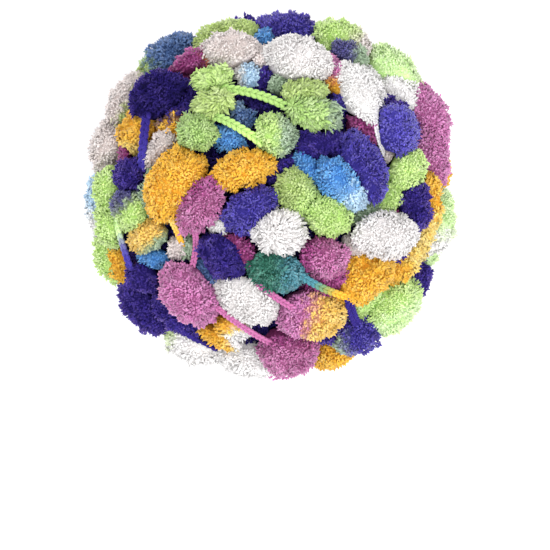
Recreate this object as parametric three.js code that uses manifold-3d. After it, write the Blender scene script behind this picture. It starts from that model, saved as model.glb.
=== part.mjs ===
// A ball of pom pom yarn: a chain-stitched cord with plump tufted pompoms on it, wound over and over itself.
// The wound ball is one solid. Its skin is lumpy with the outer pompoms, and the cords that bridge
// from pompom to pompom across the face stand on it.
// Millimetres, +Z up. The ball lies on its back. The origin is the middle of the flat that it rests on.
import * as THREE from 'three';
import { mergeVertices } from 'three/addons/utils/BufferGeometryUtils.js';
import Module from 'manifold-3d';

// Driving sizes
const BALL_WIDE = 200;
const BALL_HIGH = 147;
const POMPOM_LONG = 36;
const POMPOM_WIDE = 26;
const FLAT_DEPTH = 4; // how far the lowest pompoms are pressed up by the surface that the ball rests on
const CORE_DEPTH = 19; // from the outer skin down to the packed inside of the ball

// Worked out from them: the layer that the outer pompoms' middles lie in, and its height over the surface
const LAYER_WIDE = (BALL_WIDE - POMPOM_WIDE) / 2;
const LAYER_HIGH = (BALL_HIGH - POMPOM_WIDE) / 2;
const MIDDLE_UP = LAYER_HIGH + POMPOM_WIDE / 2 - FLAT_DEPTH;

// The outer pompoms of the upper face, as they lie. across and up are where the middle is, seen from above;
// turn is the way that it lies, in degrees from +X; lift is how far it stands over the layer.
const FACE_COLUMNS = ['across', 'up', 'turn', 'long', 'wide', 'lift'];
const RIM_POMPOMS = [
  [10, 87, -14, 38, 24, 6],
  [38, 82, -26, 36, 24, 9],
  [66, 66, -44, 38, 25, 5],
  [83, 43, -65, 40, 26, 6],
  [84, 21, -80, 38, 25, 5],
  [87, -14, 88, 40, 25, 8],
  [85, -32, 70, 16, 12, 6],
  [77, -44, 62, 25, 21, 7],
  [64, -58, 38, 39, 29, 9],
  [46, -73, 28, 31, 25, 9],
  [33, -82, 20, 28, 22, 5],
  [10, -82, -20, 33, 30, 8],
  [-11, -86, -10, 38, 24, 4],
  [-42, -78, -28, 34, 24, 6],
  [-66, -58, -48, 40, 27, 7],
  [-67, -44, 0, 20, 17, 4],
  [-85, -34, -74, 30, 18, 6],
  [-85, 3, 85, 27, 19, 10],
  [-85, -16, -85, 26, 18, 12],
  [-89, -5, 90, 38, 22, -5],
  [-85, 26, 68, 33, 24, 6],
  [-75, 51, 56, 36, 22, 9],
  [-54, 73, 27, 38, 25, 7],
  [-24, 83, 14, 38, 22, 5],
];
const TOP_POMPOMS = [
  [-21, 76, -8, 34, 23, 6],
  [15, 71, -17, 38, 27, 6],
  [46, 54, -78, 38, 21, 5],
  [69, 53, -45, 31, 25, 9],
  [67, 34, -78, 30, 24, 9],
  [72, 13, 45, 27, 22, 3],
  [76, -6, -72, 30, 21, 4],
  [60, -21, -4, 41, 26, 6],
  [49, 15, -65, 41, 23, 5],
  [37, 5, -44, 36, 23, 4],
  [30, -11, -20, 28, 23, 3],
  [18, 53, 12, 25, 16, 4],
  [23, 42, -12, 31, 19, 4],
  [3, 31, -60, 25, 22, 3],
  [-30, 60, 0, 22, 16, 6],
  [-30, 47, 15, 24, 17, 6],
  [-38, 32, -45, 24, 22, 5],
  [-59, 52, 6, 35, 27, 9],
  [-49, 5, 56, 44, 33, 1],
  [-15, 12, 18, 36, 21, 4],
  [-36, -6, 52, 34, 22, 7],
  [-11, -8, 36, 33, 23, 2],
  [5, -20, -10, 29, 24, 5],
  [4, -40, -6, 33, 24, 2],
  [28, -33, -13, 30, 23, 2],
  [-25, -33, -50, 29, 21, 4],
  [-12, -55, -35, 39, 24, 4],
  [-42, -52, -50, 39, 30, 5],
  [21, -63, -12, 38, 29, 3],
];
const LOW_POMPOMS = [
  [-3, 84, 90, 16, 11, 2],
  [35, 62, -80, 30, 17, 0],
  [42, 75, -14, 23, 15, 12],
  [31, 78, 60, 11, 9, 3],
  [63, -1, 48, 26, 15, -2],
  [52, -9, 28, 24, 12, -3],
  [83, -7, 84, 40, 18, 7],
  [73, -34, 24, 33, 18, 0],
  [50, 35, -20, 24, 16, -3],
  [63, 21, 60, 12, 10, -4],
  [27, 26, 5, 29, 19, -1],
  [20, 13, -60, 23, 14, -1],
  [14, 1, -65, 28, 22, 1],
  [-4, 46, -15, 22, 14, -5],
  [-15, 41, -35, 20, 14, -4],
  [-22, 29, -20, 22, 16, -3],
  [-12, 63, -50, 19, 15, -3],
  [-3, 61, 60, 16, 12, -5],
  [5, 58, 30, 16, 13, -5],
  [-38, 71, -8, 32, 14, 5],
  [-67, 33, 15, 32, 26, -7],
  [-58, 24, 42, 24, 15, 0],
  [-73, 10, 0, 22, 20, 1],
  [-73, -8, -55, 27, 21, 2],
  [6, 13, 45, 22, 13, -3],
  [50, -45, 26, 38, 21, 1],
  [-15, -30, -52, 24, 15, -1],
  [-26, -76, -38, 24, 12, 3],
  [-64, -22, 18, 26, 19, 1],
  [-61, -33, 10, 20, 12, -2],
  [-49, -28, 60, 15, 12, -2],
  [-80, -37, -80, 23, 14, 11],
  [-26, -15, 50, 16, 12, 0],
  [-4, 73, 80, 16, 14, 0],
  [38, 49, 0, 14, 12, -3],
  [-77, 22, -50, 14, 9, 1],
  [43, -26, -50, 16, 10, -2],
  [-37, -77, -28, 18, 9, 1],
  [-20, -70, -28, 22, 15, 1],
  [-41, -27, 75, 18, 12, -4],
  [46, -36, 15, 26, 14, -3],
];

// The pompoms round the side and underneath lie where the windings climb from the bottom to the face.
// Places are tried in one even spiral from the bottom up, and each is taken if there is room: first the outer
// pompoms, and then those that are tucked in between and under them.
// room is the least distance to the pompom beside, sunk is how deep they lie, and top is how high they go,
// as a share of the layer's height over the middle.
const SIDE_LAYERS = [
  { room: 20, sunk: 0, top: 0.6 },
  { room: 15, sunk: 7, top: 0.8 },
];
const SIDE_TRIES = 420;
const SIDE_STRETCH = 1.35; // the room in line with a pompom, in rooms beside it
const SIDE_LEAN = 38; // the most degrees that a winding leans from level
const SIDE_LEAN_SWINGS = 2; // how often the lean swings to and fro on the way round the ball
const SIDE_LEAN_SHIFT = 5; // how far the swings shift with height, in radians
const SIDE_UNEVEN = 0.08; // how far the sizes differ from the usual, as a share
const SIDE_UNEVEN_BEAT = 7; // how fast the sizes change from one place of the spiral to the next, in radians
const GOLDEN_TURN = Math.PI * (3 - Math.sqrt(5));

// The cords that bridge between pompoms on the face, each through three places seen from above. rise is how
// far the middle one is over the straight way between the ends.
const CORD_COLUMNS = ['from', 'through', 'to', 'rise', 'wide'];
const FACE_CORDS = [
  [[-26, 56], [-8, 53], [9, 46], 2, 4.4],
  [[-30, 41], [-20, 37], [-3, 26], 2, 4.2],
  [[-65, 44], [-67, 28], [-68, 12], 3, 4.6],
  [[-81, -10], [-79, -24], [-74, -38], 2, 3.4],
  [[-53, -66], [-46, -73], [-31, -82], 3, 4.2],
  [[-29, -59], [-13, -71], [1, -79], 1, 3.2],
  [[-7, -47], [4, -55], [14, -61], 1, 3.2],
  [[-53, -12], [-49, -20], [-46, -28], 0, 3],
  [[-40, -18], [-39, -27], [-41, -38], -2, 3],
  [[56, 43], [57, 32], [61, 21], 3, 2.4],
  [[15, -42], [29, -50], [44, -55], 1, 3.6],
  [[42, -53], [43, -61], [47, -70], 5, 4.4],
];
const CORD_SUNK = 2.4; // how deep the middle of a cord's end lies in the pompom that it comes out of
const CORD_SIDES = 6;
const CORD_STEPS = 6;
const SKIN_DETAIL = 21; // how often each edge of the first icosahedron is divided
const FURROW_SHARE = 0.45; // the most of a net edge that a point is moved along it to reach a furrow
const FURROW_HALVINGS = 6; // how often the stretch that holds the furrow is halved to find it
const RAY_WELD = 1e-5; // how near two rays of the net are to be one, at length 1
const POINT_WELD = 1e-4; // how near two points of a solid are to be one

const rowsOf = (columns, table) =>
  table.map((row) => Object.fromEntries(columns.map((column, i) => [column, row[i]])));

const radians = THREE.MathUtils.degToRad;
const BALL_MIDDLE = new THREE.Vector3(0, 0, 0);
const STRAIGHT_UP = new THREE.Vector3(0, 0, 1);
const CORE_HALVES = new THREE.Vector3(BALL_WIDE / 2, BALL_WIDE / 2, BALL_HIGH / 2).subScalar(CORE_DEPTH);

// The layer's height at a place seen from above, and the way out of the ball from a point in the layer.
function layerHeight(across, up) {
  const share = Math.min(1, Math.hypot(across, up) / LAYER_WIDE);
  return LAYER_HIGH * Math.sqrt(1 - share * share);
}

function outwards(point) {
  return new THREE.Vector3(
    point.x / LAYER_WIDE ** 2,
    point.y / LAYER_WIDE ** 2,
    point.z / LAYER_HIGH ** 2,
  ).normalize();
}

// A pompom: its middle from the ball's middle, its own three axes, the last one outwards, and the matrix
// that takes a step in the ball to the same step beside a round pompom of radius 1.
function pompom(middle, along, long, wide) {
  const out = outwards(middle);
  const length = along.clone().addScaledVector(out, -along.dot(out)).normalize();
  const width = new THREE.Vector3().crossVectors(out, length);
  const rows = [
    length.clone().divideScalar(long / 2),
    width.divideScalar(wide / 2),
    out.divideScalar(wide / 2),
  ];
  return { middle, length, toUnit: new THREE.Matrix3().set(...rows.flatMap((row) => row.toArray())) };
}

function facePompoms() {
  const rows = rowsOf(FACE_COLUMNS, [...RIM_POMPOMS, ...TOP_POMPOMS, ...LOW_POMPOMS]);
  return rows.map(({ across, up, turn, long, wide, lift }) => {
    const middle = new THREE.Vector3(across, up, layerHeight(across, up) + lift);
    const along = new THREE.Vector3(Math.cos(radians(turn)), Math.sin(radians(turn)), 0);
    return pompom(middle, along, long, wide);
  });
}

// How far apart two pompoms are, with the first one's long way counted for less.
function roomBetween({ middle, length }, other) {
  const apart = other.middle.clone().sub(middle);
  const inLine = apart.dot(length);
  return Math.hypot(apart.addScaledVector(length, -inLine).length(), inLine / SIDE_STRETCH);
}

// The pompoms of one layer round the side and underneath, added where those placed before them leave room.
function addSidePompoms({ room, sunk, top }, placed) {
  for (let i = 0; i < SIDE_TRIES; i++) {
    const height = -1 + (i * (1 + top)) / SIDE_TRIES;
    const round = i * GOLDEN_TURN;
    const girth = (LAYER_WIDE - sunk) * Math.sqrt(1 - height * height);
    const middle = new THREE.Vector3(
      girth * Math.cos(round),
      girth * Math.sin(round),
      (LAYER_HIGH - sunk) * height,
    );
    const lean = radians(SIDE_LEAN) * Math.sin(SIDE_LEAN_SWINGS * round + SIDE_LEAN_SHIFT * height);
    const along = new THREE.Vector3(-Math.sin(round), Math.cos(round), Math.tan(lean));
    const size = 1 + SIDE_UNEVEN * Math.sin(SIDE_UNEVEN_BEAT * i);
    const next = pompom(middle, along, POMPOM_LONG * size, POMPOM_WIDE * size);
    if (placed.every((other) => roomBetween(next, other) > room)) placed.push(next);
  }
}

// How far along a ray from a place a pompom reaches, or 0 where the ray misses it.
function reachOf({ middle, toUnit }, place, ray) {
  const step = ray.clone().applyMatrix3(toUnit);
  const away = middle.clone().sub(place).applyMatrix3(toUnit);
  const along = step.dot(away);
  const under = along ** 2 - step.lengthSq() * (away.lengthSq() - 1);
  return under < 0 ? 0 : (along + Math.sqrt(under)) / step.lengthSq();
}

// The skin along a ray from the ball's middle: how far out it is, and which pompom it is on, if any.
function skinAlong(ray, pompoms) {
  const core = { reach: 1 / ray.clone().divide(CORE_HALVES).length(), owner: null };
  return pompoms.reduce((most, owner) => {
    const reach = reachOf(owner, BALL_MIDDLE, ray);
    return reach > most.reach ? { reach, owner } : most;
  }, core);
}

// The rays of an even net of points round the ball, and the triangles between them.
function skinNet() {
  const net = new THREE.IcosahedronGeometry(1, SKIN_DETAIL);
  net.deleteAttribute('normal');
  net.deleteAttribute('uv');
  return mergeVertices(net, RAY_WELD);
}

// Moves each ray that is near a furrow to it, so that the edges of the skin follow the furrows.
function followFurrows(rays, triangles, pompoms) {
  const owners = rays.map((ray) => skinAlong(ray, pompoms).owner);
  const moved = rays.map((ray) => ({ ray, share: FURROW_SHARE }));
  for (let i = 0; i < triangles.length; i++) {
    const here = triangles[i];
    const there = triangles[i % 3 === 2 ? i - 2 : i + 1];
    if (owners[here] === owners[there]) continue;
    let [near, far] = [0, moved[here].share];
    const at = (share) => rays[here].clone().lerp(rays[there], share).normalize();
    if (skinAlong(at(far), pompoms).owner === owners[here]) continue;
    for (let halving = 0; halving < FURROW_HALVINGS; halving++) {
      const share = (near + far) / 2;
      if (skinAlong(at(share), pompoms).owner === owners[here]) near = share;
      else far = share;
    }
    moved[here] = { ray: at(near), share: far };
  }
  return moved.map(({ ray }) => ray);
}

// The lumpy skin: each ray ends on the farthest pompom on it, or on the flat underneath.
function skinGeometry(pompoms) {
  const skin = skinNet();
  const points = skin.getAttribute('position');
  const even = Array.from({ length: points.count }, (_, i) =>
    new THREE.Vector3().fromBufferAttribute(points, i).multiply(CORE_HALVES).normalize(),
  );
  followFurrows(even, skin.index.array, pompoms).forEach((ray, i) => {
    const floorReach = ray.z < 0 ? MIDDLE_UP / -ray.z : Infinity;
    const point = ray.clone().multiplyScalar(Math.min(skinAlong(ray, pompoms).reach, floorReach));
    points.setXYZ(i, point.x, point.y, point.z);
  });
  return skin;
}

// The highest skin at a place seen from above.
function skinHeight(pompoms, [across, up]) {
  const place = new THREE.Vector3(across, up, 0);
  return Math.max(...pompoms.map((one) => reachOf(one, place, STRAIGHT_UP)));
}

// A cord's route: out of one pompom, over whatever lies between, and into the next.
function cordRoute({ from, through, to, rise }, pompoms) {
  const [start, end] = [from, to].map((place) => skinHeight(pompoms, place) - CORD_SUNK);
  return new THREE.CatmullRomCurve3([
    new THREE.Vector3(...from, start),
    new THREE.Vector3(...through, (start + end) / 2 + rise),
    new THREE.Vector3(...to, end),
  ]);
}

function cordGeometry(route, wide) {
  const section = new THREE.Shape();
  for (let i = 0; i < CORD_SIDES; i++) {
    const angle = (2 * Math.PI * i) / CORD_SIDES;
    const [x, y] = [(wide / 2) * Math.cos(angle), (wide / 2) * Math.sin(angle)];
    if (i) section.lineTo(x, y);
    else section.moveTo(x, y);
  }
  return new THREE.ExtrudeGeometry(section, { steps: CORD_STEPS, extrudePath: route });
}

const wasm = await Module();
wasm.setup();

function solidOf(geometry) {
  const bare = geometry.clone();
  bare.deleteAttribute('normal');
  bare.deleteAttribute('uv');
  const merged = mergeVertices(bare, POINT_WELD);
  return new wasm.Manifold(
    new wasm.Mesh({
      numProp: 3,
      vertProperties: merged.getAttribute('position').array,
      triVerts: new Uint32Array(merged.index.array),
    }),
  );
}

function geometryOf(solid) {
  const mesh = solid.getMesh();
  return new THREE.BufferGeometry()
    .setAttribute('position', new THREE.BufferAttribute(mesh.vertProperties, 3))
    .setIndex(new THREE.BufferAttribute(mesh.triVerts, 1));
}

// Joins the cords to the ball, and fills any pocket that one of them closes in.
function joined(ball, cords) {
  const bodies = wasm.Manifold.union([ball, ...cords]).decompose();
  return bodies.reduce((outer, body) => (body.volume() > outer.volume() ? body : outer));
}

function woundBall() {
  const pompoms = facePompoms();
  SIDE_LAYERS.forEach((layer) => addSidePompoms(layer, pompoms));
  const cords = rowsOf(CORD_COLUMNS, FACE_CORDS).map((row) =>
    solidOf(cordGeometry(cordRoute(row, pompoms), row.wide)),
  );
  const geometry = geometryOf(joined(solidOf(skinGeometry(pompoms)), cords));
  geometry.computeVertexNormals();
  return geometry;
}

const pile = new THREE.MeshStandardMaterial({ color: 0xa7a0c4, roughness: 0.95, metalness: 0 });
const ball = new THREE.Mesh(woundBall(), pile);
ball.name = 'wound_ball';
ball.position.z = MIDDLE_UP;

const yarnBall = new THREE.Group();
yarnBall.add(ball);

export default yarnBall;
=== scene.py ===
"""A ball of pom pom yarn, lying on its back: tufted pompoms on a chain-stitched cord, wound over and over.

The yarn is dyed in runs of colour, so a pompom may change dye along its length. Sizes are in millimetres
from the ball's middle until a mesh is made, and then in metres over the surface that the ball rests on.
"""
import math
from types import SimpleNamespace

import bmesh
import bpy
import numpy as np
from mathutils import Matrix, Vector


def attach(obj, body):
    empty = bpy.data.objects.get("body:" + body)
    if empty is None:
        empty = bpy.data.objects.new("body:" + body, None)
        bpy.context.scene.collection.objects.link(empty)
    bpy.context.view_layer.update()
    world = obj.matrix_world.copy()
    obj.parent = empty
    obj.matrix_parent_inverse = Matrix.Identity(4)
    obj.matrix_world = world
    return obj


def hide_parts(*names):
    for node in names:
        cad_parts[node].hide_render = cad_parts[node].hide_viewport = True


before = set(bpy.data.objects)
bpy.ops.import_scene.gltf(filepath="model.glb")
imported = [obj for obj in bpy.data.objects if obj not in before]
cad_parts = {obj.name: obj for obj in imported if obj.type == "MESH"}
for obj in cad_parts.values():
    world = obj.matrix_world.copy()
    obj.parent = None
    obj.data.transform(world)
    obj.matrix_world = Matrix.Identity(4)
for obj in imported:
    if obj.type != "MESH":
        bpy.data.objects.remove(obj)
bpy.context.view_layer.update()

# The ball and its yarn
BALL_WIDE = 200
BALL_HIGH = 147
POMPOM_LONG = 36
POMPOM_WIDE = 26
CORD_WIDE = 4.6
FLAT_DEPTH = 4
# How far the windings inside lie in from the outside, and how far loose pile stands over them
CORE_DEPTH = 19
CORE_FULLER = 2
LAYER_WIDE = (BALL_WIDE - POMPOM_WIDE) / 2
LAYER_HIGH = (BALL_HIGH - POMPOM_WIDE) / 2
MIDDLE_UP = LAYER_HIGH + POMPOM_WIDE / 2 - FLAT_DEPTH
CORE_HALVES = np.array([BALL_WIDE / 2, BALL_WIDE / 2, BALL_HIGH / 2]) - CORE_DEPTH
MM = 0.001

# The pile. Tufts spread from a place on each pompom. step is how far it is to the next one; lean is how far
# from upright they lie, at least and at most, in degrees; stray is how far they turn aside, most of which
# they do together, in locks this far apart.
TUFTS = {
    "plain": SimpleNamespace(form="curl", long=2.8, wide=1.38, step=1.03, lean=(0, 60), stray=1.8),
    "stringy": SimpleNamespace(form="curl", long=3.2, wide=1.55, step=1.08, lean=(0, 68), stray=2.4),
    "combed": SimpleNamespace(form="petal", long=4.4, wide=1.6, step=1.2, lean=(50, 78), stray=0.6),
}
LOCK_APART = 7
LOCK_SHARE = 0.8
# How much coarser the tufts are on the pompoms of the lower half
STEP_BELOW = 1.36
# How far a tuft starts from its even place, in steps, and how far under the skin, in mm and in tufts
PLACE_STRAY = 0.35
TUFT_SUNK = 0.6
TUFT_ROOTED = 0.75
TUFT_BACK = 0.4
# How long and wide tufts are, of their usual size, how they turn about themselves and how they bend
LONG_UNEVEN = (0.7, 1.25)
WIDE_UNEVEN = (0.75, 1.2)
TURN_UNEVEN = 0.3
BEND_UNEVEN = 0.22
BEND_DOWN = 0.1
# Where a plain pompom's tufts spread from: shares of its width and length, outwards and along from its middle
SPREAD_OUT = 0.2
SPREAD_ALONG = 0.15
# How high over the middle of a combed pompom they spread from, as a share of its half width
COMBED_UP = 0.6
# How deep the body lies under the skin
BODY_DEPTH = 1.5
# Light goes from fibre to fibre in a pile, so this much of how a tuft is lit is how the pompom is lit there
SHARED_LIGHT = 0.7
# How uneven a pompom is: how far apart its lumps are, and how high they are
LUMPS = ((4, 0.6), (7, 0.8), (14, 0.9))
# How much thinner the dye took in some places: on average, how unevenly, and from tuft to tuft. How far
# apart the uneven places are, and the most there is.
THINNER = (0.07, 0.1, 0.03)
THINNER_APART = 9
THINNER_MOST = 0.5
# Where one dye goes over into the next: how wide that is, as a share of the pompom's reach that way, how
# unevenly it runs and how far apart its humps are
EDGE_WIDE = 0.5
EDGE_UNEVEN = 0.16
EDGE_APART = 5
# Tufts are left out where they face into the ball or lie deeper than this in another pompom
FACING_LEAST = -0.1
HIDDEN_DEPTH = 0.93
# How much the tufts of a black pile would differ in tone; how much darker they are painted down between the
# lumps for each mm, as painted shade, and lighter up on them; and how far tones go at most
TONE_UNEVEN = 0.2
PAINTED_SHADE_BETWEEN = 0.14
TONE_LIMITS = (0.45, 1.6)
# Light passes through pale piles: how much less a white one darkens, between its lumps and at its roots
PALE_BETWEEN = 0.6
PALE_ROOTS = 0.9
# Pile that would lie lower over the floor than this is pressed
PRESSED_UNDER = 2.5

# The dyes, as they look in even light, and one white painted duller and pinker, as painted shade where less
# light falls
DYES = {
    "violet": "#39318C",
    "dark violet": "#281E6C",
    "deep violet": "#171048",
    "bright violet": "#4A42A8",
    "lime": "#B4DB78",
    "leaf": "#A4BF6C",
    "fresh leaf": "#99BD6A",
    "bright lime": "#C4EC84",
    "pale lime": "#CFF6A3",
    "olive lime": "#A9C56A",
    "white": "#F4F1F0",
    "silver white": "#E6E1E0",
    # Painted shade: a white painted duller and pinker, for whites that lie where less light falls
    "shaded white": "#D8CAC6",
    "orchid": "#BC6AA0",
    "dark orchid": "#B06192",
    "plum": "#8E3A72",
    "orange": "#F2A934",
    "yellow": "#F3CD6C",
    "amber": "#F4BC56",
    "dusky violet": "#454378",
    "sky": "#4A87D2",
    "pale blue": "#A6CBEE",
    "steel": "#415B8C",
    "teal": "#2F6655",
    "sea": "#437C8A",
    "sage": "#8FA888",
}

# The outer pompoms of the upper face, as they lie. across and up are where the middle is, seen from above;
# turn is the way that it lies, in degrees from +X; lift is how far it stands over the layer. A second dye
# starts at a share of the half length from the middle, on the side that toward points at, in degrees.
FACE_COLUMNS = "across up turn long wide lift dye second toward share".split()
RIM_POMPOMS = [
    (10, 87, -14, 38, 24, 6, "violet"),
    (38, 82, -26, 36, 24, 9, "lime", "shaded white", -24, 0.35),
    (66, 66, -44, 38, 25, 5, "pale lime"),
    (83, 43, -65, 40, 26, 6, "orchid"),
    (84, 21, -80, 38, 25, 5, "orchid"),
    (87, -14, 88, 40, 25, 8, "pale lime", "white", -92, 0.3),
    (85, -32, 70, 16, 12, 6, "pale lime"),
    (77, -44, 62, 25, 21, 7, "dark violet"),
    (64, -58, 38, 39, 29, 9, "bright lime", "pale lime", -60, 0.3),
    (46, -73, 28, 31, 25, 9, "violet", "sage", 200, 0.5),
    (33, -82, 20, 28, 22, 5, "orange"),
    # Painted shade: the plum at this pompom's upper end stands for the shade of the crevice there
    (10, -82, -20, 33, 30, 8, "dark orchid", "plum", 95, 0.2),
    (-11, -86, -10, 38, 24, 4, "white"),
    (-42, -78, -28, 34, 24, 6, "white", "lime", 150, 0.7),
    (-66, -58, -48, 40, 27, 7, "dark violet"),
    (-67, -44, 0, 20, 17, 4, "dark violet"),
    (-85, -34, -74, 30, 18, 6, "lime"),
    (-85, 3, 85, 27, 19, 10, "lime"),
    (-85, -16, -85, 26, 18, 12, "lime"),
    (-89, -5, 90, 38, 22, -5, "pale blue", "white", -90, 0.2),
    (-85, 26, 68, 33, 24, 6, "shaded white"),
    (-75, 51, 56, 36, 22, 9, "shaded white", "olive lime", -30, 0.0),
    (-54, 73, 27, 38, 25, 7, "steel", "olive lime", 215, 0.6),
    (-24, 83, 14, 38, 22, 5, "olive lime"),
]
TOP_POMPOMS = [
    (-21, 76, -8, 34, 23, 6, "shaded white"),
    (15, 71, -17, 38, 27, 6, "silver white"),
    (46, 54, -78, 38, 21, 5, "white"),
    (69, 53, -45, 31, 25, 9, "white"),
    (67, 34, -78, 30, 24, 9, "bright violet"),
    (72, 13, 45, 27, 22, 3, "bright lime"),
    (76, -6, -72, 30, 21, 4, "dark violet"),
    (60, -21, -4, 41, 26, 6, "silver white"),
    (49, 15, -65, 41, 23, 5, "violet"),
    (37, 5, -44, 36, 23, 4, "sky", "pale blue", -50, 0.3),
    (30, -11, -20, 28, 23, 3, "lime"),
    (18, 53, 12, 25, 16, 4, "leaf"),
    (23, 42, -12, 31, 19, 4, "fresh leaf", "sage", 10, 0.5),
    (3, 31, -60, 25, 22, 3, "lime", "sage", 0, 0.2),
    (-30, 60, 0, 22, 16, 6, "lime"),
    (-30, 47, 15, 24, 17, 6, "leaf"),
    (-38, 32, -45, 24, 22, 5, "fresh leaf"),
    (-59, 52, 6, 35, 27, 9, "deep violet"),
    (-49, 5, 56, 44, 33, 1, "orange"),
    (-15, 12, 18, 36, 21, 4, "orange"),
    (-36, -6, 52, 34, 22, 7, "dark orchid", "plum", 120, 0.5),
    (-11, -8, 36, 33, 23, 2, "violet"),
    (5, -20, -10, 29, 24, 5, "silver white"),
    (4, -40, -6, 33, 24, 2, "teal", "sea", 0, 0.1),
    (28, -33, -13, 30, 23, 2, "dark orchid", "plum", 160, 0.3),
    (-25, -33, -50, 29, 21, 4, "dark violet"),
    (-12, -55, -35, 39, 24, 4, "silver white"),
    (-42, -52, -50, 39, 30, 5, "orchid"),
    (21, -63, -12, 38, 29, 3, "orchid", "amber", -15, 0.05),
]
LOW_POMPOMS = [
    (-3, 84, 90, 16, 11, 2, "sky"),
    (35, 62, -80, 30, 17, 0, "orchid", "orange", -85, 0.05),
    (42, 75, -14, 23, 15, 12, "dusky violet", "sage", -20, 0.2),
    (31, 78, 60, 11, 9, 3, "lime"),
    (63, -1, 48, 26, 15, -2, "lime"),
    (52, -9, 28, 24, 12, -3, "sage"),
    (83, -7, 84, 40, 18, 7, "orange", "yellow", -90, 0.2),
    (73, -34, 24, 33, 18, 0, "orange", "yellow", 30, 0.0),
    (50, 35, -20, 24, 16, -3, "plum"),
    (63, 21, 60, 12, 10, -4, "shaded white"),
    (27, 26, 5, 29, 19, -1, "dark violet"),
    (20, 13, -60, 23, 14, -1, "sky"),
    (14, 1, -65, 28, 22, 1, "leaf", "lime", -40, 0.3),
    (-4, 46, -15, 22, 14, -5, "deep violet"),
    (-15, 41, -35, 20, 14, -4, "steel", "pale blue", 120, 0.6),
    (-22, 29, -20, 22, 16, -3, "sky"),
    (-12, 63, -50, 19, 15, -3, "pale blue", "silver white", 180, 0.3),
    (-3, 61, 60, 16, 12, -5, "dark violet"),
    (5, 58, 30, 16, 13, -5, "sage"),
    (-38, 71, -8, 32, 14, 5, "plum", "orange", 0, 0.35),
    (-67, 33, 15, 32, 26, -7, "orange", "yellow", -90, 0.4),
    (-58, 24, 42, 24, 15, 0, "shaded white"),
    (-73, 10, 0, 22, 20, 1, "dark violet"),
    (-73, -8, -55, 27, 21, 2, "lime", "dusky violet", 130, 0.45),
    (6, 13, 45, 22, 13, -3, "dark violet"),
    (50, -45, 26, 38, 21, 1, "orange"),
    (-15, -30, -52, 24, 15, -1, "plum"),
    (-26, -76, -38, 24, 12, 3, "orange", "white", 20, 0.3),
    (-64, -22, 18, 26, 19, 1, "amber", "sage", -50, 0.35),
    (-61, -33, 10, 20, 12, -2, "sky"),
    (-49, -28, 60, 15, 12, -2, "shaded white"),
    (-80, -37, -80, 23, 14, 11, "orange"),
    (-26, -15, 50, 16, 12, 0, "white"),
    (-4, 73, 80, 16, 14, 0, "shaded white"),
    (38, 49, 0, 14, 12, -3, "violet"),
    (-77, 22, -50, 14, 9, 1, "plum"),
    (43, -26, -50, 16, 10, -2, "shaded white"),
    (-37, -77, -28, 18, 9, 1, "dark violet"),
    (-20, -70, -28, 22, 15, 1, "orange", "white", -60, 0.2),
    (-41, -27, 75, 18, 12, -4, "sage"),
    (46, -36, 15, 26, 14, -3, "orange"),
]

# The pompoms whose tufts are combed out from one place, with that place
COMBED = {
    (5, -20): (1, -23),
    (18, 53): (8, 50),
    (23, 42): (12, 47),
    (-30, 60): (-25, 56),
    (-30, 47): (-24, 51),
}

# The pompoms round the side and underneath: an even spiral of places from the bottom up, each taken if there
# is room, first for the outer pompoms and then for those tucked in between and under them.
SIDE_LAYERS = [
    SimpleNamespace(room=20, sunk=0, top=0.6, bright=0.3),
    SimpleNamespace(room=15, sunk=7, top=0.8, bright=-0.1),
]
SIDE_TRIES = 420
SIDE_STRETCH = 1.35
SIDE_LEAN = 38
SIDE_LEAN_SWINGS = 2
SIDE_LEAN_SHIFT = 5
SIDE_UNEVEN = 0.08
SIDE_UNEVEN_BEAT = 7
GOLDEN_TURN = math.pi * (3 - math.sqrt(5))
# The order of the dyes along the yarn there; over the height called bright, where little light comes in, the
# pompoms take a run of dark dyes instead, as painted shade. How many dyes there are in a turn round the ball
# and over its half height, and where the next one starts.
DYE_RUN = [
    "violet", "sky", "white", "pale lime", "lime",
    "orange", "orchid", "dark violet", "white", "yellow",
]
PAINTED_SHADE_RUN = ["dark violet", "steel", "dark violet", "plum"]
DYES_A_TURN = 10
DYES_A_HEIGHT = 9
NEXT_DYE = 1.2

# What shows of the tucked pompoms between the others on the face: a place that each one covers, with its dye,
# and where it has a second one, that with its way and share as above
TUCKED_DYES = [
    ((82, 26), "orchid"),
    ((58, 60), "white"),
    ((50, -60), "lime"),
    ((35, -76), "dark violet"),
    ((-3, -73), "plum"),
    ((-12, -81), "white"),
    ((-26, -65), "yellow"),
    ((-51, -69), "dark violet"),
    ((-67, 3), "sage"),
    # Painted shade: this one is dyed dark violet for the shade between the pompoms round it
    ((-44, 50), "dark violet", "orange", -90, 0.08),
    ((-10, 94), "dark violet"),
    ((95, 8), "orange"),
]

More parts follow.
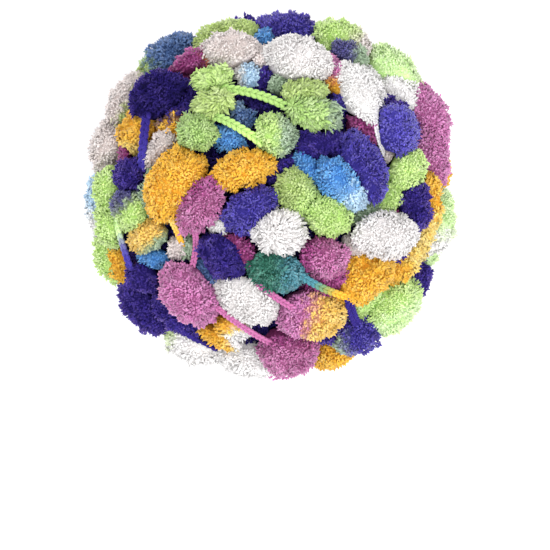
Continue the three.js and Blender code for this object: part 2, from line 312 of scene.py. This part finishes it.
# The cords that bridge between pompoms on the face, each through three places seen from above, with its dyes.
# rise is how far the middle one is over the straight way between the ends. Their ends lie this deep.
CORD_COLUMNS = "start through end rise wide dye second".split()
FACE_CORDS = [
    ((-26, 56), (-8, 53), (9, 46), 2, 4.4, "fresh leaf", "fresh leaf"),
    ((-30, 41), (-20, 37), (-3, 26), 2, 4.2, "fresh leaf", "lime"),
    ((-65, 44), (-67, 28), (-68, 12), 3, 4.6, "dark violet", "violet"),
    ((-83, -12), (-78, -28), (-74, -40), 3, 4, "pale lime", "violet"),
    ((-53, -66), (-46, -73), (-31, -82), 3, 4.2, "dark violet", "dark violet"),
    ((-29, -59), (-13, -71), (1, -79), 1, 3.2, "dark orchid", "dark orchid"),
    ((-7, -47), (4, -55), (14, -61), 1, 3.2, "dark orchid", "dark orchid"),
    ((-53, -12), (-49, -20), (-46, -28), 0, 3, "yellow", "orange"),
    ((-40, -18), (-39, -27), (-41, -38), -2, 3, "dark orchid", "dark orchid"),
    ((56, 43), (57, 32), (61, 21), 3, 2.4, "white", "white"),
    ((15, -42), (29, -50), (44, -55), 1, 3.6, "sea", "orange"),
    ((42, -53), (43, -61), (47, -70), 5, 4.4, "dark violet", "dark violet"),
]
CORD_SUNK = 2.4
# How steeply a cord goes from its first dye to the second
CORD_DYE_STEEP = 2.2
# A stitch of the chain: how far to the next one, how long a leg is, how far the two spread and how they
# stand, in degrees, and shares of the cord's width: a leg's half thickness and how far out it lies
STITCH_STEP = 3.5
STITCH_LONG = 6.0
STITCH_SPREAD = 26
STITCH_STANDS = 80
LEG_THICK = 0.3
LEG_OUT = 0.24

# The cords round the side run along furrows, between pompoms that are this far apart at least and at most,
# over the middle part of the way between them. They stay clear of other pompoms and of the floor.
SIDE_CORD_REACH = (30, 46)
SIDE_CORD_PART = (0.2, 0.8)
SIDE_CORD_LIFT = 9
SIDE_CORD_APART = 22
SIDE_CORD_CLEAR = 0.98
SIDE_CORD_UP = 8

# The camera looks straight down. The ball's middle is at these pixels of the 550 pixel square frame.
FRAME_PIXELS = 550
MM_PER_PIXEL = 0.54
BALL_PIXEL_X = 270
BALL_PIXEL_Y = 196
CAMERA_LENS = 300
CAMERA_SENSOR = 36

# The stage, in metres: half the floor's width, the sky's strength, and each lamp's place, watts and size
FLOOR_HALF = 8
SKY_STRENGTH = 1.15
LAMPS = (
    ("window", (0.5, -0.6, 1.7), 24, 1.2),
    ("fill", (-0.7, 0.6, 1.6), 12, 1.2),
)

# How many waves cross in an uneven field, how far each starts after the last, and their sum's usual height
WAVES = 7
WAVE_SHIFT = 1.7
WAVES_HIGH = 3
# What each uneven thing is drawn from
SEEDS = SimpleNamespace(tufts=7, lumps=2, edges=3, thinner=5, locks=11)

draw = np.random.default_rng(SEEDS.tufts)
LUMINANCE = np.array([0.2126, 0.7152, 0.0722])


def linear(hex_colour):
    """An sRGB hex colour as linear red, green and blue."""
    parts = np.array([int(hex_colour[i:i + 2], 16) for i in (1, 3, 5)]) / 255
    return np.where(parts <= 0.04045, parts / 12.92, ((parts + 0.055) / 1.055) ** 2.4)


def unit(vectors):
    """The same directions at length 1."""
    return vectors / np.linalg.norm(vectors, axis=-1, keepdims=True)


def level_way(degrees):
    """The level direction that is so many degrees from +X."""
    turned = math.radians(degrees)
    return np.array([math.cos(turned), math.sin(turned), 0])


def layer_height(across, up):
    """How high the pompoms' middles lie over the ball's middle, at a place seen from above."""
    share = min(1, math.hypot(across, up) / LAYER_WIDE)
    return LAYER_HIGH * math.sqrt(1 - share * share)


def pompom(middle, along, long, wide, dye, second=None, toward=0, share=0):
    """A pompom's middle, own axes (the last one outwards), half sizes and dyes."""
    middle = np.array(middle, float)
    out = unit(middle / np.array([LAYER_WIDE, LAYER_WIDE, LAYER_HIGH]) ** 2)
    along = np.array(along, float)
    length = unit(along - out * (along @ out))
    return SimpleNamespace(
        middle=middle,
        axes=np.array([length, np.cross(out, length), out]),
        halves=np.array([long, wide, wide]) / 2,
        dye=linear(DYES[dye]),
        second=linear(DYES[second or dye]),
        toward=level_way(toward),
        share=share,
        dye_name=dye,
        tufts="stringy" if dye in ("orange", "yellow") else "plain",
        spread_from=middle + out * wide * SPREAD_OUT + length * long * SPREAD_ALONG,
    )


def face_pompoms(table):
    """The pompoms of one table of the face."""
    made = []
    for row in table:
        p = dict(zip(FACE_COLUMNS, row))
        across, up, turn, lift = (p.pop(name) for name in ("across", "up", "turn", "lift"))
        middle = (across, up, layer_height(across, up) + lift)
        one = pompom(middle, level_way(turn), **p)
        if (across, up) in COMBED:
            one.tufts = "combed"
            one.spread_from = np.array([*COMBED[across, up], middle[2] + one.halves[2] * COMBED_UP])
        made.append(one)
    return made


def room_between(new, other):
    """How far apart two pompoms are, with the new one's long way counted for less."""
    apart = other.middle - new.middle
    in_line = apart @ new.axes[0]
    beside = np.linalg.norm(apart - in_line * new.axes[0])
    return math.hypot(beside, in_line / SIDE_STRETCH)


def side_pompoms(layer, placed):
    """The pompoms of one layer round the side and underneath, where those placed before them leave room."""
    made = []
    for i in range(SIDE_TRIES):
        height = -1 + i * (1 + layer.top) / SIDE_TRIES
        round_ = i * GOLDEN_TURN
        girth = (LAYER_WIDE - layer.sunk) * math.sqrt(1 - height * height)
        middle = (girth * math.cos(round_), girth * math.sin(round_), (LAYER_HIGH - layer.sunk) * height)
        lean = math.radians(SIDE_LEAN) * math.sin(SIDE_LEAN_SWINGS * round_ + SIDE_LEAN_SHIFT * height)
        along = (-math.sin(round_), math.cos(round_), math.tan(lean))
        size = 1 + SIDE_UNEVEN * math.sin(SIDE_UNEVEN_BEAT * i)
        run = round_ / (2 * math.pi) % 1 * DYES_A_TURN + height * DYES_A_HEIGHT
        # Painted shade: over the height called bright, where little light comes in, the pompoms are dyed dark
        dyes = DYE_RUN if height < layer.bright else PAINTED_SHADE_RUN
        dye, after = dyes[int(run) % len(dyes)], dyes[int(run + 1) % len(dyes)]
        new = pompom(middle, along, POMPOM_LONG * size, POMPOM_WIDE * size, dye,
                     after, math.degrees(round_) + 90, NEXT_DYE - run % 1)
        if all(room_between(new, other) > layer.room for other in placed + made):
            made.append(new)
    return made


def redye(hidden):
    """Gives the tucked pompoms that show on the face their dyes."""
    for place, dye, *after in TUCKED_DYES:
        one = max(hidden, key=lambda other: reach_up(other, *place))
        second, toward, one.share = after or (dye, 0, 0)
        one.dye, one.second, one.toward = linear(DYES[dye]), linear(DYES[second]), level_way(toward)


def packed_inside():
    """The windings inside of the ball as one round body, dyed the darkest violets as painted shade that shows
    dark between the pompoms.
    """
    # Made as a speck near the middle, where its tufts spread from, and then full size
    one = pompom((0, 0, 1), (1, 0, 0), 2, 2, "deep violet", "dark violet", 60, 0.6)
    one.middle = np.zeros(3)
    one.halves = CORE_HALVES + CORE_FULLER
    return one


def depth_in(one, points):
    """1 on a pompom's outside, less inside it and more beyond it."""
    return np.linalg.norm((points - one.middle) @ one.axes.T / one.halves, axis=-1)


def waves(points, length, seed):
    """Smooth uneven numbers from about -1 to 1 over places, with humps about a length apart."""
    ways = unit(np.random.default_rng(seed).normal(size=(WAVES, 3)))
    starts = np.arange(WAVES) * WAVE_SHIFT
    return np.sin(points @ ways.T * (2 * math.pi / length) + starts).sum(axis=-1) / WAVES_HIGH


def lumps(points):
    """How far the skin stands out at places, in mm."""
    return sum(high * waves(points, apart, SEEDS.lumps + i) for i, (apart, high) in enumerate(LUMPS))


def form(make, *shape):
    """Points and triangles of a small form that a function shapes in a bmesh."""
    bm = bmesh.new()
    make(bm, *shape)
    bmesh.ops.recalc_face_normals(bm, faces=bm.faces)
    bmesh.ops.triangulate(bm, faces=bm.faces)
    bm.verts.index_update()
    points = np.array([v.co for v in bm.verts])
    faces = np.array([[v.index for v in f.verts] for f in bm.faces])
    bm.free()
    return points, faces


def curl(bm):
    """A closed tuft, 1 long and 2 across, blunt at its tip, with a ridge along its back."""
    ring = [bm.verts.new((x, y, 0.72)) for x, y in ((1, -0.3), (0, 0.9), (-1, -0.3))]
    root, tip = bm.verts.new((0, 0, 0)), bm.verts.new((0, 0, 1))
    for i in range(3):
        bm.faces.new((root, ring[(i + 1) % 3], ring[i]))
        bm.faces.new((ring[i], ring[(i + 1) % 3], tip))


def petal(bm):
    """A longer closed tuft, which can bend, with a ridge along its back."""
    outline = ((1, -0.2), (0, 0.7), (-1, -0.2))
    low, high = ([bm.verts.new((x * girth, y * girth, height)) for x, y in outline]
                 for height, girth in ((0.3, 0.8), (0.82, 1)))
    root, tip = bm.verts.new((0, 0, 0)), bm.verts.new((0, 0, 1))
    for i in range(3):
        j = (i + 1) % 3
        bm.faces.new((root, low[j], low[i]))
        bm.faces.new((low[i], low[j], high[j], high[i]))
        bm.faces.new((high[i], high[j], tip))


def round_body(bm):
    """A ball with a radius of 1."""
    bmesh.ops.create_icosphere(bm, subdivisions=2, radius=1)


def stitch(bm):
    """One stitch of the chain, seen as a V: two plump legs that lie along X, with Z up."""
    for side in (-1, 1):
        leg = bmesh.ops.create_uvsphere(bm, u_segments=8, v_segments=6, radius=1)["verts"]
        bmesh.ops.scale(bm, vec=(CORD_WIDE * LEG_THICK, CORD_WIDE * LEG_THICK, STITCH_LONG / 2), verts=leg)
        stands = Matrix.Rotation(math.radians(STITCH_STANDS), 4, "Y")
        turned = Matrix.Rotation(math.radians(side * STITCH_SPREAD), 4, "Z")
        placed = Matrix.Translation((0, side * CORD_WIDE * LEG_OUT, 0))
        bmesh.ops.transform(bm, matrix=placed @ turned @ stands, verts=leg)


def visible(points, outward, ball, owner):
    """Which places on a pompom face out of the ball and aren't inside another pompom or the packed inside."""
    shown = (outward * unit(points)).sum(axis=-1) > FACING_LEAST
    for other in ball + [inside]:
        reach = other.halves.max() + owner.halves.max()
        if other is not owner and np.linalg.norm(other.middle - owner.middle) <= reach:
            shown &= depth_in(other, points) > HIDDEN_DEPTH
    return shown


def over_floor(points):
    """Presses what would lie under the surface that the ball rests on up to it, softly."""
    height = points[..., 2] + MIDDLE_UP
    under = np.minimum(height - PRESSED_UNDER, 0) / PRESSED_UNDER
    pressed = np.where(under < 0, PRESSED_UNDER * np.exp(under), height)
    return np.concatenate([points[..., :2], (pressed - MIDDLE_UP)[..., None]], axis=-1)


def dyed(one, points):
    """The dye at places on a pompom, changing to the second one through both, across an uneven edge."""
    way = (points - one.middle) @ one.toward
    reach = np.linalg.norm(one.halves * (one.axes @ one.toward))
    uneven = EDGE_UNEVEN * waves(points, EDGE_APART, SEEDS.edges)
    over = (way / reach - one.share + uneven) / EDGE_WIDE + 0.5
    mix = np.clip(over, 0, 1)[:, None]
    return one.dye ** (1 - mix) * one.second ** mix


def even_places(one, step):
    """Places spread evenly over a pompom, and the way out there."""
    long, wide, deep = one.halves
    power = 1.6  # a close rule for the area of such a body takes its half sizes to this power
    area = 4 * math.pi * (((long * wide) ** power * 2 + (wide * deep) ** power) / 3) ** (1 / power)
    count = int(area / step ** 2)
    along = 1 - (2 * np.arange(count) + 1) / count
    turned = np.arange(count) * GOLDEN_TURN
    girth = np.sqrt(1 - along ** 2)
    places = np.stack([along, girth * np.cos(turned), girth * np.sin(turned)], axis=-1)
    places = unit(places + draw.normal(scale=PLACE_STRAY * step / wide, size=places.shape))
    return one.middle + places * one.halves @ one.axes, unit(places / one.halves @ one.axes)


def across_from(vectors, outward):
    """The part of each vector that lies in the surface, at length 1."""
    return unit(vectors - outward * (vectors * outward).sum(axis=-1, keepdims=True))


def tufted(one, ball):
    """The tufts of one pompom: their points, the dye of each point with painted shade between the lumps in it,
    and how far it is from root to tip, which the material paints darker at the roots as painted shade.
    """
    kind = TUFTS[one.tufts]
    points, faces = FORMS[kind.form]
    coarser = STEP_BELOW if one.middle[2] < 0 else 1
    places, outward = even_places(one, kind.step * coarser)
    shown = visible(places, outward, ball, one)
    places, outward = places[shown], outward[shown]
    count = len(places)
    spread = unit(places - one.spread_from)
    locks = np.stack([waves(places, LOCK_APART, SEEDS.locks + i) for i in range(3)], axis=-1)
    turned_aside = LOCK_SHARE * locks + (1 - LOCK_SHARE) * 2 * draw.normal(size=(count, 3))
    aside = across_from(spread + kind.stray * turned_aside, outward)
    lean = np.radians(draw.uniform(*kind.lean, size=(count, 1)))
    pointing = outward * np.cos(lean) + aside * np.sin(lean)
    across = unit(np.cross(outward, aside) + draw.normal(scale=TURN_UNEVEN, size=(count, 3)))
    up = np.cross(pointing, across)
    long = kind.long * draw.uniform(*LONG_UNEVEN, size=(count, 1))
    wide = kind.wide / 2 * draw.uniform(*WIDE_UNEVEN, size=(count, 1)) * coarser
    lump = lumps(places)[:, None]
    roots = places - outward * (TUFT_SUNK + long * np.cos(lean) * TUFT_ROOTED - lump)
    roots -= aside * long * TUFT_BACK
    bend = draw.normal(scale=BEND_UNEVEN, size=(count, 3)) - BEND_DOWN * outward + BEND_DOWN * up
    x, y, z = points.T[:, :, None, None]
    made = roots + x * wide * across + y * wide * up + long * (z * pointing + z ** 2 * bend)
    made = over_floor(made.transpose(1, 0, 2))
    own = unit(x * across + y * up + (z > 0.9) * pointing - (z < 0.1) * pointing)
    light = unit(own * (1 - SHARED_LIGHT) + outward * SHARED_LIGHT).transpose(1, 0, 2)
    usual, uneven, apiece = THINNER
    thinner = usual + uneven * waves(places, THINNER_APART, SEEDS.thinner) + apiece * draw.normal(size=count)
    dye = dyed(one, places) ** (1 - thinner.clip(0, THINNER_MOST)[:, None])
    paleness = dye @ LUMINANCE
    tone = TONE_UNEVEN * (1 - paleness[:, None]) * draw.normal(size=(count, 1))
    # Painted shade: tufts down between the lumps are painted darker, and those up on them lighter, less so on
    # pale piles
    tone += PAINTED_SHADE_BETWEEN * (1 - PALE_BETWEEN * paleness[:, None]) * lump
    return SimpleNamespace(
        points=made.reshape(-1, 3),
        faces=(faces + np.arange(count)[:, None, None] * len(points)).reshape(-1, 3),
        dye=np.repeat(dye * (1 + tone).clip(*TONE_LIMITS), len(points), axis=0),
        tip=(1 - (1 - points[:, 2]) * (1 - PALE_ROOTS * paleness[:, None])).ravel(),
        light=light.reshape(-1, 3),
    )


def bodied(one):
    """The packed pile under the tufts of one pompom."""
    points, faces = BODY
    local = points * (one.halves - BODY_DEPTH)
    made = one.middle + local @ one.axes
    light = unit(points / one.halves @ one.axes)
    made += light * lumps(made)[:, None]
    dye = dyed(one, made)
    # Painted shade: the body under the tufts is painted darker, as the pile's roots are, less where it is pale
    return SimpleNamespace(points=over_floor(made), faces=faces, dye=dye, tip=PALE_ROOTS * dye @ LUMINANCE,
                           light=light)


def stitched(route, size, dye, second):
    """A cord along a route of close points, one stitch after another. Its stitches are lit as they are."""
    points, faces = STITCH
    steps = np.linalg.norm(np.diff(route, axis=0), axis=1)
    run = np.concatenate([[0], np.cumsum(steps)])
    places = np.arange(STITCH_STEP / 2, run[-1], STITCH_STEP * size)
    at, before, after = (np.stack([np.interp(places + off, run, route[:, i]) for i in range(3)], axis=-1)
                         for off in (0, -1, 1))
    ahead = unit(after - before)
    out = across_from(unit(at / np.array([LAYER_WIDE, LAYER_WIDE, LAYER_HIGH]) ** 2), ahead)
    beside = np.cross(out, ahead)
    count = len(places)
    x, y, z = points.T[:, :, None, None] * size
    made = (at + x * ahead + y * beside + z * out).transpose(1, 0, 2)
    mix = np.clip((places / run[-1] - 0.5) * CORD_DYE_STEEP + 0.5, 0, 1)[:, None]
    colour = (linear(DYES[dye]) ** (1 - mix) * linear(DYES[second]) ** mix) ** (1 - THINNER[0])
    # Painted shade: tip runs from 0.5 at a stitch's underside to 1 at its top, and the material paints the low
    # end darker
    return SimpleNamespace(
        points=over_floor(made.reshape(-1, 3)),
        faces=(faces + np.arange(count)[:, None, None] * len(points)).reshape(-1, 3),
        dye=np.repeat(colour, len(points), axis=0),
        tip=np.tile(0.5 + 0.5 * points[:, 2] / points[:, 2].max(), count),
        light=np.empty((0, 3)),
    )


def reach_up(one, across, up):
    """The height of a pompom's top at a place seen from above, or far below where it doesn't cover it."""
    step = one.axes[:, 2] / one.halves
    away = (one.middle - np.array([across, up, 0])) @ one.axes.T / one.halves
    along = step @ away
    under = along ** 2 - step @ step * (away @ away - 1)
    return (along + math.sqrt(under)) / (step @ step) if under > 0 else -BALL_HIGH


def bowed(start, through, end, count=24):
    """Close points on a parabola through three places."""
    start, through, end = (np.array(p, float) for p in (start, through, end))
    pull = 2 * through - (start + end) / 2
    t = np.linspace(0, 1, count)[:, None]
    return (1 - t) ** 2 * start + 2 * t * (1 - t) * pull + t ** 2 * end


def face_cord(row, ball):
    """One cord of the face, between the tops of the pompoms that lie at its ends."""
    c = SimpleNamespace(**dict(zip(CORD_COLUMNS, row)))
    start, end = (max(reach_up(one, *place) for one in ball) - CORD_SUNK for place in (c.start, c.end))
    route = bowed((*c.start, start), (*c.through, (start + end) / 2 + c.rise), (*c.end, end))
    return stitched(route, c.wide / CORD_WIDE, c.dye, c.second)


def side_cords(side, ball):
    """Cords along the furrows round the side, from one outer pompom to another one not far off."""
    steps = 9
    share = np.linspace(*SIDE_CORD_PART, steps)[:, None]
    taken, cords = [], []
    for i, start in enumerate(side):
        for end in side[i + 1:]:
            apart = np.linalg.norm(end.middle - start.middle)
            middle = (start.middle + end.middle) / 2
            if not SIDE_CORD_REACH[0] < apart < SIDE_CORD_REACH[1]:
                continue
            if any(np.linalg.norm(middle - other) < SIDE_CORD_APART for other in taken):
                continue
            way = start.middle * (1 - share) + end.middle * share
            way *= 1 + SIDE_CORD_LIFT / np.linalg.norm(way, axis=-1, keepdims=True)
            others = [one for one in ball if one is not start and one is not end]
            if min(depth_in(one, way).min() for one in others) < SIDE_CORD_CLEAR:
                continue
            if way[:, 2].min() + MIDDLE_UP < SIDE_CORD_UP:
                continue
            taken.append(middle)
            route = bowed(way[0], way[steps // 2], way[-1])
            cords.append(stitched(route, 1, start.dye_name, end.dye_name))
    return cords


def joined(parts):
    """Several meshes' points, faces and attributes as one."""
    firsts = np.cumsum([0] + [len(part.points) for part in parts[:-1]])
    faces = np.concatenate([part.faces + first for part, first in zip(parts, firsts)])
    fields = ("points", "dye", "tip", "light")
    made = {name: np.concatenate([getattr(part, name) for part in parts]) for name in fields}
    return SimpleNamespace(faces=faces, **made)


def piece(name, made, material):
    """A joined mesh as a piece of the ball, in metres over the surface that it rests on."""
    mesh = bpy.data.meshes.new(name)
    mesh.vertices.add(len(made.points))
    mesh.vertices.foreach_set("co", ((made.points + [0, 0, MIDDLE_UP]) * MM).astype(np.float32).ravel())
    mesh.loops.add(made.faces.size)
    mesh.loops.foreach_set("vertex_index", made.faces.astype(np.int32).ravel())
    mesh.polygons.add(len(made.faces))
    mesh.polygons.foreach_set("loop_start", np.arange(0, made.faces.size, 3, dtype=np.int32))
    mesh.update(calc_edges=True)
    mesh.polygons.foreach_set("use_smooth", np.ones(len(made.faces), bool))
    dye = mesh.attributes.new("dye", "FLOAT_COLOR", "POINT")
    dye.data.foreach_set("color", np.c_[made.dye, np.ones(len(made.dye))].astype(np.float32).ravel())
    mesh.attributes.new("tip", "FLOAT", "POINT").data.foreach_set("value", made.tip.astype(np.float32))
    mesh.validate()
    if len(made.light):
        mesh.normals_split_custom_set_from_vertices(made.light.astype(np.float32))
    mesh.materials.append(material)
    made_object = bpy.data.objects.new(name, mesh)
    bpy.context.collection.objects.link(made_object)
    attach(made_object, "root")
    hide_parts("wound_ball")
    return made_object


def add_node(material, kind, links=(), **settings):
    """Adds a node with its settings, then its links, each an input's name with the socket that feeds it."""
    node = material.node_tree.nodes.new(kind)
    for name, value in settings.items():
        if hasattr(node, name):
            setattr(node, name, value)
        else:
            node.inputs[name.replace("_", " ")].default_value = value
    for name, socket in links:
        material.node_tree.links.new(node.inputs[name], socket)
    return node


def yarn_material(name, root_shade, fibre_mm):
    """Dyed acrylic staple. Its dye is the attribute's, with painted shade between the lumps on the tufts,
    painted darker at the roots as painted shade where the pile shades itself, and uneven where the fibres took
    the dye unevenly. The fibres are drawn coarser than real ones, to show."""
    material = bpy.data.materials.new(name)
    material.use_nodes = True
    material.node_tree.nodes.clear()
    place = add_node(material, "ShaderNodeTexCoord").outputs["Object"]
    dye = add_node(material, "ShaderNodeAttribute", attribute_name="dye").outputs["Color"]
    tip = add_node(material, "ShaderNodeAttribute", attribute_name="tip").outputs["Fac"]
    shade = add_node(material, "ShaderNodeMapRange", [("Value", tip)], To_Min=root_shade, To_Max=1.0)
    fibres = add_node(material, "ShaderNodeTexNoise", [("Vector", place)],
                      Scale=1 / (fibre_mm * MM), Detail=2.0, Roughness=0.6)
    uptake = add_node(material, "ShaderNodeMapRange", [("Value", fibres.outputs["Fac"])],
                      From_Min=0.3, From_Max=0.7, To_Min=0.74, To_Max=1.18)
    both = add_node(material, "ShaderNodeMath",
                    [(0, shade.outputs["Result"]), (1, uptake.outputs["Result"])], operation="MULTIPLY")
    shaded = add_node(material, "ShaderNodeVectorMath", [(0, dye), ("Scale", both.outputs["Value"])],
                      operation="SCALE")
    bump = add_node(material, "ShaderNodeBump", [("Height", fibres.outputs["Fac"])],
                    Strength=0.35, Distance=0.25 * MM)
    shader = add_node(material, "ShaderNodeBsdfPrincipled",
                      [("Base Color", shaded.outputs["Vector"]), ("Sheen Tint", dye),
                       ("Normal", bump.outputs["Normal"])],
                      Roughness=0.9, Sheen_Weight=0.5, Sheen_Roughness=0.5, Specular_IOR_Level=0.08,
                      Subsurface_Weight=0.5, Subsurface_Scale=2.5 * MM, Subsurface_Radius=(1, 1, 1))
    add_node(material, "ShaderNodeOutputMaterial", [("Surface", shader.outputs["BSDF"])])
    return material


FORMS = {"curl": form(curl), "petal": form(petal)}
BODY = form(round_body)
STITCH = form(stitch)

rim = face_pompoms(RIM_POMPOMS)
top = face_pompoms(TOP_POMPOMS)
low = face_pompoms(LOW_POMPOMS)
side = side_pompoms(SIDE_LAYERS[0], rim + top + low)
tucked = side_pompoms(SIDE_LAYERS[1], rim + top + low + side)
redye(side + tucked)
ball = rim + top + low + side + tucked
inside = packed_inside()

pile = yarn_material("dyed acrylic pile", 0.6, 0.8)
chain = yarn_material("dyed acrylic chain stitch", 0.8, 0.6)

for name, group in (("rim_pompoms", rim), ("top_pompoms", top), ("low_pompoms", low),
                    ("side_pompoms", side), ("tucked_pompoms", tucked)):
    piece(name, joined([tufted(one, ball) for one in group]), pile)
packed = joined([bodied(one) for one in ball + [inside]] + [tufted(inside, ball)])
piece("packed_pile", packed, pile)
cords = joined([face_cord(row, ball) for row in FACE_CORDS] + side_cords(side, ball))
piece("chain_cords", cords, chain)


def stage():
    """A plain pale floor and soft studio light."""
    floor_mesh = bpy.data.meshes.new("floor")
    bm = bmesh.new()
    bmesh.ops.create_grid(bm, x_segments=1, y_segments=1, size=FLOOR_HALF)
    bm.to_mesh(floor_mesh)
    bm.free()
    # Plain matt paper, a little under white, so that the ball's shadow shows on it
    paper = bpy.data.materials.new("white paper")
    paper.use_nodes = True
    shader = paper.node_tree.nodes["Principled BSDF"]
    shader.inputs["Base Color"].default_value = (*linear("#F6F6F6"), 1)
    shader.inputs["Roughness"].default_value = 0.9
    floor_mesh.materials.append(paper)
    floor = bpy.data.objects.new("floor", floor_mesh)
    bpy.context.collection.objects.link(floor)
    world = bpy.data.worlds.new("studio")
    world.use_nodes = True
    world.node_tree.nodes["Background"].inputs["Color"].default_value = (1, 1, 1, 1)
    world.node_tree.nodes["Background"].inputs["Strength"].default_value = SKY_STRENGTH
    bpy.context.scene.world = world
    for name, place, watts, size in LAMPS:
        lamp = bpy.data.lights.new(name, "AREA")
        lamp.energy = watts
        lamp.size = size
        lamp_object = bpy.data.objects.new(name, lamp)
        lamp_object.location = place
        aim = Vector((0, 0, MIDDLE_UP * MM)) - Vector(place)
        lamp_object.rotation_euler = aim.to_track_quat("-Z", "Y").to_euler()
        bpy.context.collection.objects.link(lamp_object)


def camera():
    """Straight down, with the ball where it is in the photograph's frame."""
    lens = bpy.data.cameras.new("camera")
    lens.lens = CAMERA_LENS
    lens.sensor_width = CAMERA_SENSOR
    made = bpy.data.objects.new("camera", lens)
    frame_wide = FRAME_PIXELS * MM_PER_PIXEL
    away = frame_wide * CAMERA_LENS / CAMERA_SENSOR
    made.location = Vector((
        (FRAME_PIXELS / 2 - BALL_PIXEL_X) * MM_PER_PIXEL,
        (BALL_PIXEL_Y - FRAME_PIXELS / 2) * MM_PER_PIXEL,
        MIDDLE_UP + away,
    )) * MM
    bpy.context.collection.objects.link(made)
    bpy.context.scene.camera = made


stage()
camera()
bpy.context.scene.view_settings.view_transform = "Standard"
